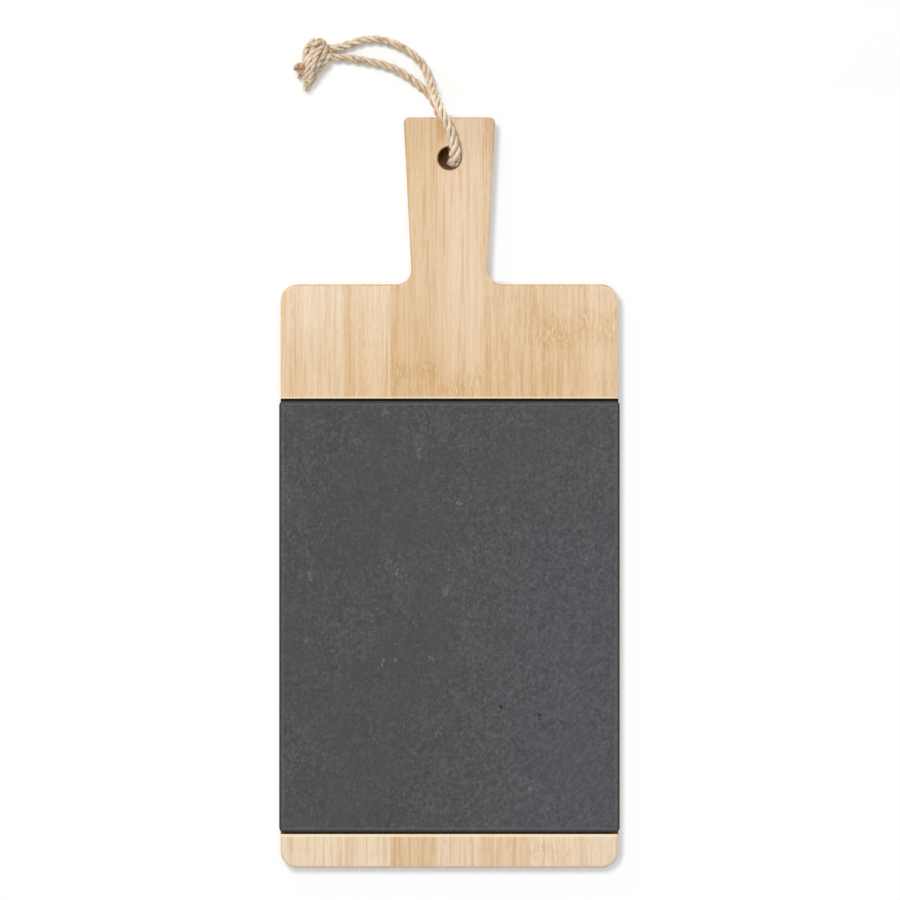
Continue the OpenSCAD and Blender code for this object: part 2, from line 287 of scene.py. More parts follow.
def carrying(geometry, name, value, kind="FLOAT"):
    """The geometry with a value on each of its points."""
    return place(geometry.id_data, "GeometryNodeStoreNamedAttribute",
                 {"Geometry": geometry, "Name": name, "Value": value},
                 data_type=kind, domain="POINT")


def close_tree(geometry, material, made):
    """Ends a tree in a plain, smooth mesh with its material."""
    tree = geometry.id_data
    plain = place(tree, "GeometryNodeRealizeInstances", {0: geometry})
    smooth = place(tree, "GeometryNodeSetShadeSmooth", {"Geometry": plain})
    tree.links.new(place(tree, "GeometryNodeSetMaterial", {
        "Geometry": smooth, "Material": material}), made.inputs[0])


def grown(name, mesh, tree, sizes):
    """The plain mesh that a tree makes of a mesh with these sizes, as a new piece."""
    piece = set_out(name, mesh)
    modifier = piece.modifiers.new("tree", "NODES")
    modifier.node_group = tree
    for item in tree.interface.items_tree:
        if item.in_out == "INPUT" and item.name in sizes:
            modifier[item.identifier] = sizes[item.name]
    graph = bpy.context.evaluated_depsgraph_get()
    made = bpy.data.meshes.new_from_object(
        piece.evaluated_get(graph), preserve_all_data_layers=True, depsgraph=graph)
    piece.modifiers.remove(modifier)
    piece.data = made
    made.name = name
    return piece


# Each strand winds about the middle of the cord, and carries how deep its surface lies
cord_tree, given, made = new_tree("laid_cord", {
    "Strands": "Int", "Strand radius": "Float", "Strand offset": "Float", "Lay": "Float",
    "First turn": "Float", "Fibres": "Float", "Fibre length": "Float", "Seed": "Int"})
rail = place(cord_tree, "GeometryNodeMeshToCurve", {0: given["Geometry"]})
copies = place(cord_tree, "GeometryNodeDuplicateElements",
               {"Geometry": rail, "Amount": given["Strands"]}, domain="SPLINE")
length = place(cord_tree, "GeometryNodeSplineParameter", out="Length")
position = place(cord_tree, "GeometryNodeInputPosition")
normal = place(cord_tree, "GeometryNodeInputNormal")
tangent = place(cord_tree, "GeometryNodeInputTangent")
thick = carried(cord_tree, "thick")
turn = plus(given["First turn"], value_of("DIVIDE", copies.node.outputs[1], given["Strands"]))
angle = times(plus(value_of("DIVIDE", length, given["Lay"]), turn), 2 * math.pi)
arm = vector_of("ADD", vector_of("MULTIPLY", normal, value_of("COSINE", angle)), vector_of(
    "MULTIPLY", vector_of("CROSS_PRODUCT", tangent, normal), value_of("SINE", angle)))
arm = vector_of("MULTIPLY", arm, times(thick, given["Strand offset"]))
arm = vector_of("MULTIPLY", arm, joined(plus(1.0, carried(cord_tree, "spread")), 1.0, 1.0))
strands = place(cord_tree, "GeometryNodeSetPosition",
                {"Geometry": carrying(copies, "middle", position, "FLOAT_VECTOR"),
                 "Offset": arm})
ring = place(cord_tree, "GeometryNodeCurvePrimitiveCircle",
             {"Resolution": 12, "Radius": given["Strand radius"]})
ring = carrying(ring, "section", vector_of("NORMALIZE", position), "FLOAT_VECTOR")
yarns = place(cord_tree, "GeometryNodeCurveToMesh",
              {"Curve": carrying(strands, "along", length), "Profile Curve": ring,
               "Scale": thick, "Fill Caps": True})
lumps = place(cord_tree, "ShaderNodeTexNoise", {"Scale": 900.0, "Detail": 3.0})
yarns = place(cord_tree, "GeometryNodeSetPosition", {"Geometry": yarns, "Offset": vector_of(
    "MULTIPLY", normal, times(minus(lumps, 0.62), yarn_relief))})
from_middle = vector_of(
    "DISTANCE", position, carried(cord_tree, "middle", "FLOAT_VECTOR"), out=1)
yarns = carrying(yarns, "depth", value_of("DIVIDE", from_middle, times(
    thick, plus(given["Strand offset"], given["Strand radius"]))))

# Loose fibres stand out of the yarns, and nothing goes below the table
scatter = place(cord_tree, "GeometryNodeDistributePointsOnFaces",
                {"Mesh": yarns, "Density": given["Fibres"], "Seed": given["Seed"]})
wisp = place(cord_tree, "GeometryNodeCurvePrimitiveBezierSegment",
             {"Resolution": 4, "Start": (0, 0, 0), "Start Handle": (0, 0, 0.4),
              "End Handle": (0.3, 0, 0.7), "End": (0.75, 0.1, 0.75)}, mode="POSITION")
wisp_ring = place(cord_tree, "GeometryNodeCurvePrimitiveCircle",
                  {"Resolution": 3, "Radius": 0.018})
wisp = place(cord_tree, "GeometryNodeCurveToMesh", {"Curve": wisp, "Profile Curve": wisp_ring})
lean = place(cord_tree, "FunctionNodeRandomValue",
             {0: (-0.9, -0.9, -3.1), 1: (0.9, 0.9, 3.1), "Seed": given["Seed"]},
             data_type="FLOAT_VECTOR")
facing = place(cord_tree, "FunctionNodeRotateRotation",
               {0: scatter.node.outputs["Rotation"],
                1: place(cord_tree, "FunctionNodeEulerToRotation", {0: lean})},
               rotation_space="LOCAL")
size = place(cord_tree, "FunctionNodeRandomValue", {2: 0.35, 3: 1.0, "Seed": given["Seed"]}, 1,
             data_type="FLOAT")
wisps = place(cord_tree, "GeometryNodeInstanceOnPoints",
              {"Points": scatter, "Instance": wisp, "Rotation": facing,
               "Scale": times(size, given["Fibre length"])})
wisps = place(cord_tree, "GeometryNodeRealizeInstances", {0: wisps})
whole = place(cord_tree, "GeometryNodeJoinGeometry")
for part in (carrying(wisps, "depth", 1.0), yarns):
    cord_tree.links.new(part, whole.node.inputs[0])
across, down, tall = split(position)
whole = place(cord_tree, "GeometryNodeSetPosition", {
    "Geometry": whole, "Position": joined(across, down, value_of("MAXIMUM", tall, 0.0001))})
close_tree(whole, jute, made)


def twisted_cord(name, paths, first_turn, fibres, seed, lay=cord_lay, strands=3,
                 radius=strand_radius, offset=strand_offset):
    """Cord along each of the paths. Its strands start at first_turn, and it has so many
    loose fibres on each square metre of its surface."""
    return grown(name, thread(name, paths), cord_tree, {
        "Strands": strands, "Strand radius": radius, "Strand offset": offset, "Lay": lay,
        "First turn": first_turn, "Fibres": fibres, "Fibre length": fibre_length,
        "Seed": seed})


def on_handle(point):
    """1 in the hole and on the handle, where the strands lie slack, and 0 on the table."""
    return max(0.0, min(1.0, (point.z - 0.0095) / 0.006))


def at_mouth(point):
    """1 where the cord turns down into the hole and opens up, and 0 from 12 mm away."""
    return on_handle(point) * max(0.0, min(1.0, (0.188 - point.y) / 0.008))


# At the hole it lies a little nearer to the middle than its stand-in, to have room there
front_path = laid_path(metres(front_leg_mm) + metres([(-68.0, 236.4, 3.4)]))
front_path = [p + Vector((-0.0002, -0.0006, 0.0)) * at_mouth(p) for p in front_path]
back_path = laid_path(metres(back_leg_mm) + metres([(-68.0, 232.6, 3.2)]))
front_leg = twisted_cord("cord_over_handle", [
    {"at": front_path, "thick": [1 + 0.07 * on_handle(p) + 0.30 * at_mouth(p) for p in front_path],
     "spread": [0.18 * on_handle(p) for p in front_path],
     "bleach_and_painted_light": [0.6 * on_handle(p) + 0.3 * at_mouth(p) for p in front_path]}],
    0.051, fibre_share, 3)
back_leg = twisted_cord("cord_under_handle", [{"at": back_path}], 0.0, fibre_share, 5)


# The knot: both ends of the cord tied together in one overhand knot and pulled tight, so
# that five wraps lie side by side, with one more turn over their upper end. Two cut ends
# stick out, one upwards and one frayed to a point, and between them a strand is loose.
wrap_thick = 0.80
cut_radius = 0.0015
over_table = 0.0003
wraps = [  # the upper side of each wrap, from its far end to its near one, in mm
    [(-72.8, 240.0, 4.6), (-75.2, 238.0, 6.4), (-76.5, 234.8, 7.2), (-76.8, 231.2, 6.6),
     (-76.4, 228.0, 5.0), (-75.9, 225.0, 3.2)],
    [(-70.4, 239.6, 6.0), (-72.2, 236.6, 8.4), (-74.0, 233.0, 9.4), (-75.0, 229.2, 9.2),
     (-75.6, 225.4, 7.4), (-76.2, 221.6, 4.8), (-76.6, 219.4, 3.0)],
    [(-67.8, 238.8, 6.2), (-69.9, 235.4, 8.4), (-71.7, 232.0, 9.2), (-72.9, 228.4, 8.8),
     (-73.5, 224.6, 7.2), (-74.1, 221.0, 4.8), (-74.5, 219.0, 3.0)],
    [(-66.2, 236.6, 4.8), (-67.6, 232.9, 6.6), (-69.5, 229.6, 7.0), (-71.2, 226.6, 6.2),
     (-72.4, 223.4, 4.6), (-73.2, 220.8, 3.0)],
    [(-63.9, 233.4, 3.4), (-65.6, 231.2, 4.6), (-68.0, 228.6, 4.8), (-70.2, 226.0, 4.2),
     (-71.9, 223.2, 3.0)]]


def wrap_path(top):
    """A whole turn: over the knot as given, and back underneath it on the table."""
    (start_x, start_y, _), (end_x, end_y, _) = top[0], top[-1]
    under = [(end_x + (start_x - end_x) * share + 0.2 * math.sin(math.pi * share),
              end_y + (start_y - end_y) * (share * 1.1 - 0.05), 1.95)
             for share in (0.02, 0.3, 0.7, 0.98)]
    return laid_path(metres([*top, *under, top[0]]))


def tail_path(corners, thick_end, cut_length):
    """A tail that swells as it leaves the knot, and ends in a cut face."""
    path = laid_path(metres(corners))
    run = len(path) - 1
    return {"at": path,
            "thick": [wrap_thick + (thick_end - wrap_thick) * (i / run) ** 1.5
                      for i in range(run + 1)],
            "cut": [max(0.0, min(0.9, 1 - (run - i) * path_step / cut_length))
                    for i in range(run + 1)]}


def tuft(end, towards, count, reach, splay, opening, brown, seed):
    """Single fibres that stand out of a cut end. They open out, or draw together where
    opening is below 0, and the middle ones are browner where the end was singed."""
    runs = []
    for k in range(count):
        turn = 2.4 * k
        out = Vector((math.cos(turn), math.sin(turn), 0.35 * math.sin(2.9 * k + seed)))
        out = (out - towards * out.dot(towards)) * (k / count) ** 0.5
        long = reach * (0.55 + 0.45 * math.sin(5.3 * k + seed) ** 2)
        root = end + out * cut_radius * splay - towards * 0.0009
        tip = end + towards * long + out * (cut_radius + opening * long) * splay
        bow = (root + tip) / 2 + out.cross(towards) * 0.2 * long
        low = [Vector((p.x, p.y, max(p.z, over_table))) for p in (root, bow, tip)]
        path = laid_path(low)
        runs.append({"at": path, "thick": [1 - 0.7 * i / len(path) for i in range(len(path))],
                     "cut": [brown * max(0.0, 1 - 1.3 * k / count)] * len(path),
                     "bleach_and_painted_light": [0.4 + 1.1 * k / count] * len(path)})
    return runs


knot_paths = []
for wrap in wraps:
    path = wrap_path(wrap)
    knot_paths.append({"at": path, "thick": [wrap_thick] * len(path),
                       "bleach_and_painted_light": [0.4] * len(path)})
over_top = laid_path(metres([
    (-66.4, 234.2, 4.0), (-66.2, 237.0, 6.4), (-67.4, 240.2, 8.4), (-69.4, 241.2, 9.6),
    (-71.0, 239.6, 10.0), (-72.6, 238.2, 9.4), (-74.6, 238.4, 8.0), (-76.0, 236.6, 5.8)]))
knot_paths.append({"at": over_top, "thick": [wrap_thick * 0.8] * len(over_top),
                   "bleach_and_painted_light": [0.2] * len(over_top)})
side_end = tail_path([
    (-73.5, 229.5, 3.0), (-75.6, 228.4, 2.9), (-77.6, 227.3, 3.1), (-79.2, 226.5, 4.2),
    (-80.0, 226.0, 5.8)], 1.55, 0.0006)
down_end = tail_path([
    (-73.0, 226.0, 3.2), (-73.9, 222.8, 3.2), (-74.6, 220.4, 3.1), (-75.0, 218.8, 3.0)],
    1.15, 0.0002)
down_end["bleach_and_painted_light"] = [i / len(down_end["at"]) for i in range(len(down_end["at"]))]
knot = twisted_cord("cord_knot_and_ends", knot_paths + [side_end, down_end], 0.2, fibre_share,
                    8, lay=knot_lay, radius=0.00122, offset=0.00106)
short_end = laid_path(metres([(-77.4, 227.6, 2.0), (-78.8, 225.0, 2.2), (-79.6, 222.8, 2.2),
                              (-80.1, 221.2, 2.1)]))
strand_end = {"at": short_end, "thick": [1.0 - 0.35 * i / len(short_end)
                                         for i in range(len(short_end))],
              "cut": [0.4 * i / len(short_end) for i in range(len(short_end))]}
loose_strand = twisted_cord("cord_loose_strand", [strand_end], 0.1, 50000, 9, strands=1,
                            offset=0.0)
mouth_middle = Vector((0.0028, 0.1764, 0.0192))  # where the worn cord bends into the hole
mouth_side = Vector((0.0012, 0.1764, 0.0180))
frays = []
for end, count, reach, splay, opening, brown in (
        (side_end, 140, 0.0015, 1.8, 0.5, 0.8), (down_end, 130, 0.0060, 2.0, -0.07, 0.0),
        (strand_end, 20, 0.0014, 0.7, 0.5, 0.4)):
    towards = (end["at"][-1] - end["at"][-4]).normalized()
    frays += tuft(end["at"][-1], towards, count, reach, splay, opening, brown, len(frays))
frays += tuft(mouth_middle, Vector((-0.1, -0.93, 0.35)), 180, 0.0028, 1.3, 0.0, 0.15, 7)
frays += tuft(mouth_side, Vector((-0.45, -0.84, 0.3)), 130, 0.0026, 1.1, 0.1, 0.4, 11)
frayed_ends = twisted_cord("cord_frayed_ends", frays, 0.0, 0.0, 4, strands=1,
                           radius=0.00016, offset=0.0)
for piece in (front_leg, back_leg, knot, loose_strand, frayed_ends):
    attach(piece, "root")
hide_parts("cord_front_leg")
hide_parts("cord_back_leg")
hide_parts("cord_knot", "cord_side_tail", "cord_down_tail")


# The board: strips of bamboo, flat-pressed and glued edge to edge in three plies. The face
# and back strips run along the board and the core strips across it. After gluing it is
# sawn to shape and sanded, so the outer edges are eased and every strip keeps its own tone.
board_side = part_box("core_lamella_1")[1].x
board_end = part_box("face_lamella_5")[1].y
face_under, board_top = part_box("face_lamella_1")[0].z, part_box("face_lamella_1")[1].z
back_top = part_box("back_lamella_1")[1].z
blade_middle, blade_half, blade_corner = Vector((0.0, -0.0445, 0.0)), (0.09, 0.1555), 0.009
handle_middle, handle_half, handle_corner = Vector((0.0, 0.15, 0.0)), (0.0221, 0.05), 0.0025
handle_flare = 0.05
hole_middle = (0.0, 0.1782, 0.0)
hole_radius = 0.006
dado_ends = (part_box("strip_lamella_1")[1].y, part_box("face_lamella_1")[0].y)
eased = 0.0003
no_knuckle = 9.0
pale, cream, honey, amber = (236, 214, 186), (234, 208, 177), (230, 202, 168), (226, 196, 158)
light_amber, ivory = (228, 199, 163), (242, 221, 194)
face_strips = [  # tone, place of the knuckle along the strip, darker left flank, how figured
    (cream, no_knuckle, 0.0, 0.85), (pale, no_knuckle, 0.0, 0.75), (cream, no_knuckle, 0.4, 0.85),
    (amber, 0.0610, 0.2, 0.5), (cream, 0.0560, 0.3, 0.55), (light_amber, no_knuckle, 0.1, 0.85),
    (light_amber, 0.0850, 0.0, 0.9), (cream, 0.0880, 0.2, 0.9)]
low_strips = [
    (pale, no_knuckle, 0.0, 0.7), (pale, no_knuckle, 0.0, 0.8), (pale, no_knuckle, 0.4, 0.9),
    (amber, no_knuckle, 0.2, 0.8), (cream, no_knuckle, 0.0, 0.8), (honey, no_knuckle, 0.2, 0.8),
    (ivory, -0.1915, 0.0, 0.9), (pale, no_knuckle, 0.0, 0.8)]
back_tones = [cream, honey, pale, honey, cream, amber, cream, honey]
back_knuckles = [0.041, -0.118, 0.094, -0.036, 0.010, -0.152, 0.071, -0.080]
core_tones = [honey, cream, amber, cream, honey, honey, cream, amber, honey,
              cream, honey, cream, amber, honey, cream, honey, amber]


def apart_from(value, first, second):
    """How far a number is from the nearer of two others."""
    return value_of("MINIMUM", unsigned(minus(value, first)), unsigned(minus(value, second)))


def away_from(middle, where, stretch=(1.0, 1.0, 0.0)):
    """How far a place is from a middle, as seen from above."""
    return vector_of("LENGTH", vector_of(
        "MULTIPLY", vector_of("SUBTRACT", where, middle), stretch), out=1)


def bamboo(name, crosswise):
    """Oiled bamboo with its fibres along the board, or across it."""
    material, tree, shader, where = finish(name, roughness=0.5, specular=0.35)
    x, y, z = split(where)
    nx, ny, nz = split(place(tree, "ShaderNodeNewGeometry", out="Normal"))
    over, length, end_facing = (y, x, nx) if crosswise else (x, y, ny)
    seed, figure, tone = kept(tree, "seed"), kept(tree, "figure"), kept(tree, "tone", "Color")
    at = joined(over, length, z)
    # Fibres swerve round a knuckle, where the culm had its partition, and break up
    wavering = times(minus(cloud(at, (260, 24, 260)), 0.5), 0.020)
    from_knuckle = unsigned(plus(minus(length, kept(tree, "knuckle")), wavering))
    near = times(fade(from_knuckle, 0.013, 0.002),
                 fade(cloud(at, (120, 80, 120)), 0.32, 0.6, 0.25, 1.0))
    swerve = times(minus(cloud(at, (150, 90, 150)), 0.5), 0.0030, near)
    own = vector_of("MULTIPLY", joined(seed, seed, seed), (0.37, 1.9, 0.53))
    at = vector_of("ADD", vector_of("ADD", at, own), joined(swerve))
    bundles = vector_of("SNAP", at, (0.00108, 0.00001, 0.00108))
    fine = cloud(bundles, (3300, 24, 3300), 1.0)
    lines = cloud(at, (800, 15, 800), 1.0)
    bands = cloud(at, (150, 9, 150))
    dashes = cloud(at, (1400, 210, 1400), 1.0)
    flecks = cloud(at, (1300, 300, 1300), 2.0, 0.6)
    blotches = cloud(at, (44, 26, 44))
    deep = tinted(1.0, tone, (230, 204, 166), "MULTIPLY")
    bright = tinted(0.5, tone, (255, 240, 216))
    wood = tone
    for pattern, dark, deepest, light, brightest, most, other in (
            (lines, 0.50, 0.66, 0.48, 0.32, 0.40, 0.40),
            (bands, 0.52, 0.72, 0.46, 0.30, 0.08, 0.08),
            (dashes, 0.52, 0.70, 0.46, 0.30, 0.30, 0.30),
            (blotches, 0.50, 0.80, 0.46, 0.20, 0.15, 0.0)):
        wood = tinted(times(figure, fade(pattern, dark, deepest, 0.0, most)), wood, deep)
        wood = tinted(times(figure, fade(pattern, light, brightest, 0.0, other)), wood, bright)
    wood = tinted(fade(fine, 0.54, 0.74, 0.0, 0.45), wood, deep)
    wood = tinted(fade(fine, 0.44, 0.26, 0.0, 0.35), wood, bright)
    flank = times(kept(tree, "flank"), fade(kept(tree, "across"), 0.4, 0.05))
    wood = tinted(flank, wood, (238, 216, 184), "MULTIPLY")
    wood = tinted(near, wood, (247, 240, 229), "MULTIPLY")
    wood = tinted(times(near, fade(flecks, 0.50, 0.68, 0.0, 0.55)), wood,
                  tinted(1.0, tone, (232, 202, 156), "MULTIPLY"))
    wood = tinted(times(near, fade(flecks, 0.48, 0.34, 0.0, 0.55)), wood, (246, 230, 202))
    if not crosswise:
        # The boards are darker towards the slate and towards the handle's end
        darker_near_slate = times(fade(y, 0.112, 0.056, 0.0, 0.6), fade(y, -0.01, 0.01))
        wood = tinted(darker_near_slate, wood, (246, 236, 217), "MULTIPLY")
        wood = tinted(fade(y, 0.165, 0.2), wood, (245, 244, 243), "MULTIPLY")
        # The edges of the handle's end are browner
        half_there = plus(times(y, handle_flare), handle_half[0] - handle_flare * handle_middle.y)
        browner_edges = times(fade(minus(half_there, unsigned(x)), 0.0018, 0.0004, 0.0, 0.9),
                        fade(y, 0.168, 0.190))
        wood = tinted(browner_edges, wood, (244, 228, 204), "MULTIPLY")
        # A brown streak runs along the board from the hole towards the handle's end, left of the
        # cord
        brown_streak = times(fade(x, -0.0074, -0.0063), fade(x, -0.0010, -0.0034),
                       fade(y, 0.180, 0.192), fade(lines, 0.25, 0.60, 1.0, 0.7))
        wood = tinted(brown_streak, wood, (232, 211, 172), "MULTIPLY")
    # Cut across, the strands of the culm show as dots
    dots = place(tree, "ShaderNodeTexVoronoi",
                 {"Vector": vector_of("MULTIPLY", at, (1250, 0, 1250)), "Scale": 1.0})
    ends = tinted(fade(bands, 0.35, 0.7), (226, 196, 154), (206, 170, 124))
    ends = tinted(fade(dots, 0.42, 0.16, 0.0, 0.75), ends, (150, 110, 68))
    wood = tinted(fade(unsigned(end_facing), 0.55, 0.85), wood, ends)
    # The glue lines show as thin dark lines on the sides of the board
    glue = times(fade(unsigned(nz), 0.5, 0.2),
                 fade(apart_from(z, face_under, back_top), 0.00022, 0.00008, 0.0, 0.7))
    wood = tinted(glue, wood, (158, 118, 74))
    # The upper rim is darker on its left and top sides and near the handle's end, and painted
    # lighter on its right and bottom sides, as painted light where they face away from the lamp
    at_top = fade(z, board_top - 0.0012, board_top - 0.0004)
    rim = times(fade(unsigned(nz), 0.985, 0.6), at_top)
    darker_sides = value_of("MAXIMUM", fade(minus(nx, ny), 0.2, -0.3),
                      fade(y, 0.172, 0.190, 0.0, 0.55))
    wood = tinted(times(rim, darker_sides, 0.5), wood, (226, 190, 144), "MULTIPLY")
    wood = tinted(times(rim, minus(1.0, darker_sides), 0.7), wood, (255, 240, 216))
    # The dado's lips get a painted highlight, and its narrow gaps painted shade below them
    from_lip = apart_from(y, *dado_ends)
    lip_wide, lip_narrow = (fade(y, -0.1, 0.0, low, up)
                            for low, up in ((0.0019, 0.0014), (0.0013, 0.0006)))
    painted_lip_highlight = times(fade(from_lip, lip_wide, lip_narrow, 0.0, 0.75), at_top)
    wood = tinted(painted_lip_highlight, wood, (252, 234, 198))
    painted_gap_shade = times(fade(from_lip, 0.0018, 0.0012), fade(unsigned(nx), 0.6, 0.3),
                   fade(z, board_top - 0.0003, board_top - 0.0009),
                   fade(z, face_under - 0.0003, face_under - 0.0001))
    wood = tinted(painted_gap_shade, wood, tinted(fade(y, -0.1, 0.0), (150, 118, 80), (44, 30, 20)))
    # The hole's wall and rim are browner
    browner_hole_rim = times(fade(away_from(hole_middle, where), hole_radius + 0.0010,
                        hole_radius + 0.0002), fade(lines, 0.2, 0.6, 0.75, 1.0))
    wood = tinted(browner_hole_rim, wood, (148, 104, 60))
    surfaced(shader, wood, plus(times(fine, 0.6), lines), 0.00008, 0.3,
             rough=fade(lines, 0.3, 0.7, 0.42, 0.58))
    return material


def mesh_of(work, name, crease):
    """The mesh of a finished work, smooth but for the edges over crease degrees."""
    mesh = bpy.data.meshes.new(name)
    work.to_mesh(mesh)
    work.free()
    mesh.shade_smooth()
    mesh.set_sharp_from_angle(angle=math.radians(crease))
    return mesh


bamboo_along = bamboo("bamboo_along", crosswise=False)
bamboo_across = bamboo("bamboo_across", crosswise=True)


def strip(node, name, plies, tone, seed, knuckle, flank=0.2, figure=1.0,
          crosswise=False):
    """One strip: the CAD solid, merged, with its free edges eased. The edges of its joints
    and of its glued faces, at the heights in plies, stay square, so that all closes up."""
    axis, limit = (1, board_end - 1e-4) if crosswise else (0, board_side - 1e-4)
    glued = [(axis, corner[axis]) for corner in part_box(node) if abs(corner[axis]) < limit]
    glued += [(2, height) for height in plies]
    work = bmesh.new()
    work.from_mesh(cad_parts[node].data)
    bmesh.ops.remove_doubles(work, verts=work.verts, dist=1e-6)
    bmesh.ops.dissolve_limit(work, angle_limit=math.radians(0.4), verts=work.verts,
                             edges=work.edges)
    free = [e for e in work.edges if len(e.link_faces) == 2
            and e.calc_face_angle(0.0) > math.radians(20)
            and not any(all(abs(v.co[way] - at) < 1e-5 for v in e.verts) for way, at in glued)]
    rim = [e for e in free if all(
        math.hypot(v.co.x, v.co.y - hole_middle[1]) < hole_radius + 1e-4 for v in e.verts)]
    # The short edges of the hole's rim would hold the others back, so they go by themselves
    for edges in ([e for e in free if e not in rim], rim):
        if edges:
            bmesh.ops.bevel(work, geom=edges, offset=eased, segments=2, profile=0.6,
                            affect="EDGES", clamp_overlap=True)
    mesh = mesh_of(work, name, 40)
    places = [v.co[axis] for v in mesh.vertices]
    low, wide = min(places), max(places) - min(places)
    count = len(places)
    for key, values in (("seed", [seed] * count), ("knuckle", [knuckle] * count),
                        ("flank", [flank] * count), ("figure", [figure] * count),
                        ("across", [(at - low) / wide for at in places])):
        mesh.attributes.new(key, "FLOAT", "POINT").data.foreach_set("value", values)
    mesh.attributes.new("tone", "FLOAT_COLOR", "POINT").data.foreach_set(
        "color", light_of(tone) * count)
    for face in mesh.polygons:
        face.use_smooth = face.area < 4e-6
    mesh.materials.append(bamboo_across if crosswise else bamboo_along)
    piece = set_out(name, mesh)
    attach(piece, "root")
    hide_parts(node)


for row, kind, strips in (("face", "face", face_strips), ("strip", "low", low_strips)):
    for number, (tone, knuckle, flank, figure) in enumerate(strips, 1):
        strip(f"{row}_lamella_{number}", f"{kind}_strip_{number}", [face_under],
              tone, 0.7 * number, knuckle, flank, figure)
for number, (tone, knuckle) in enumerate(zip(back_tones, back_knuckles), 1):
    strip(f"back_lamella_{number}", f"back_strip_{number}", [back_top],
          tone, 10 + 0.9 * number, knuckle)
for number, tone in enumerate(core_tones, 1):
    strip(f"core_lamella_{number}", f"core_strip_{number}",
          [face_under, back_top], tone, 30 + 1.1 * number, 0.05 * math.sin(3.1 * number),
          crosswise=True)


# The slate: one tile of natural cleft slate, sawn to size and lightly oiled. Its face keeps
# the shallow relief of the split, its upper edges are eased and slightly chipped.
slate_low, slate_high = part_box("slate_tile")
slate_middle = Vector((0.0, (slate_low.y + slate_high.y) / 2))
slate_corner = 0.0025
slate_eased = 0.0007
relief = 0.00028
side_depths = (0.0018, 0.0027, 0.0036)
edge_rows = [0.0, 0.00005, 0.00018, 0.0004, 0.0007, 0.0012, 0.0019, 0.0025]
pits = [((500.5, 706.5), 0.0014), ((539.0, 714.5), 0.0010)]  # pixel in the picture, radius
pale_chips = [
    ((385, 410), 0.0008), ((459, 503), 0.0007), ((503, 508), 0.0009), ((552, 540), 0.0006),
    ((586, 556), 0.0006), ((396, 572), 0.0007), ((382, 661), 0.0006), ((395, 659), 0.0006),
    ((431, 658), 0.0007), ((437, 732), 0.0008), ((529, 789.5), 0.0007), ((310, 575), 0.0012),
    ((306, 640), 0.0010), ((445, 590), 0.0014), ((418, 452), 0.0010)]


def at_pixel(column, row):
    """The place on the board under a pixel of the 900 by 900 picture."""
    pixel = picture_width / 900
    return (picture_middle[0] + (column + 0.5 - 450) * pixel,
            picture_middle[1] - (row + 0.5 - 450) * pixel)


def grid_lines(low, high, usual=0.00115):
    """Rows across the tile: close together at both edges, even between them."""
    inner_low, inner_high = low + edge_rows[-1], high - edge_rows[-1]
    count = round((inner_high - inner_low) / usual)
    between = [inner_low + (inner_high - inner_low) * i / count for i in range(1, count)]
    return [low + e for e in edge_rows] + between + [high - e for e in reversed(edge_rows)]


def cleft(x, y):
    """How far the split face lies below the highest point, from 0 to 1."""
    soft = noise.fractal(Vector((x * 22, y * 17, 3.1)), 0.9, 2.1, 3)
    layers = noise.noise(Vector((x * 15 + 4.0, y * 11, 8.7))) * 3.0
    step = layers - math.floor(layers)
    ledge = math.floor(layers) + min(1.0, step / 0.22)
    grit = noise.fractal(Vector((x * 420, y * 300, 1.7)), 0.8, 2.2, 3)
    return min(1.0, max(0.0, 0.42 - 0.16 * soft - 0.05 * ledge - 0.15 * grit))


columns = grid_lines(slate_low.x, slate_high.x)
rows = grid_lines(slate_low.y, slate_high.y)
work = bmesh.new()
grid = []
for y in rows:
    line = []
    for x in columns:
        u = slate_corner - min(x - slate_low.x, slate_high.x - x)
        v = slate_corner - min(y - slate_low.y, slate_high.y - y)
        place_x, place_y = x, y
        if u > 0 and v > 0:
            shrink = max(u, v) / math.hypot(u, v)
            place_x += math.copysign(u * (1 - shrink), -x)
            place_y += math.copysign(v * (1 - shrink), slate_middle.y - y)
        inward = slate_corner - max(u, v)
        chip = max(0.0, noise.fractal(Vector((x * 190, y * 190, 5.0)), 0.7, 2.0, 3) - 0.25)
        round_off = slate_eased * (1 + 0.8 * chip)
        drop = 0.0
        if inward < round_off:
            drop = slate_eased * (1 - math.sqrt(max(0.0, 1 - (1 - inward / round_off) ** 2)))
        drop += relief * cleft(x, y) * min(1.0, inward / 0.0012 + 0.35)
        line.append(work.verts.new((place_x, place_y, slate_high.z - drop)))
    grid.append(line)
for low_line, high_line in zip(grid, grid[1:]):
    for a, b, c, d in zip(low_line, low_line[1:], high_line[1:], high_line):
        work.faces.new((a, b, c, d))
rim = (grid[0][:-1] + [line[-1] for line in grid[:-1]] + grid[-1][:0:-1]
       + [line[0] for line in grid[:0:-1]])
for level in (*(slate_high.z - depth for depth in side_depths), slate_low.z):
    lower = []
    for vert in rim:
        x, y, z = vert.co
        inset = 0.00012 * abs(noise.noise(Vector((x * 300, y * 300, level * 700))))
        out = (Vector((x, y)) - slate_middle).normalized()
        lower.append(work.verts.new((x - out.x * inset, y - out.y * inset, level)))
    for i, vert in enumerate(rim):
        j = (i + 1) % len(rim)
        work.faces.new((vert, lower[i], lower[j], rim[j]))
    rim = lower
work.faces.new(reversed(rim))
bmesh.ops.recalc_face_normals(work, faces=work.faces)
slate = set_out("slate_cleft_tile", mesh_of(work, "slate_cleft_tile", 50))

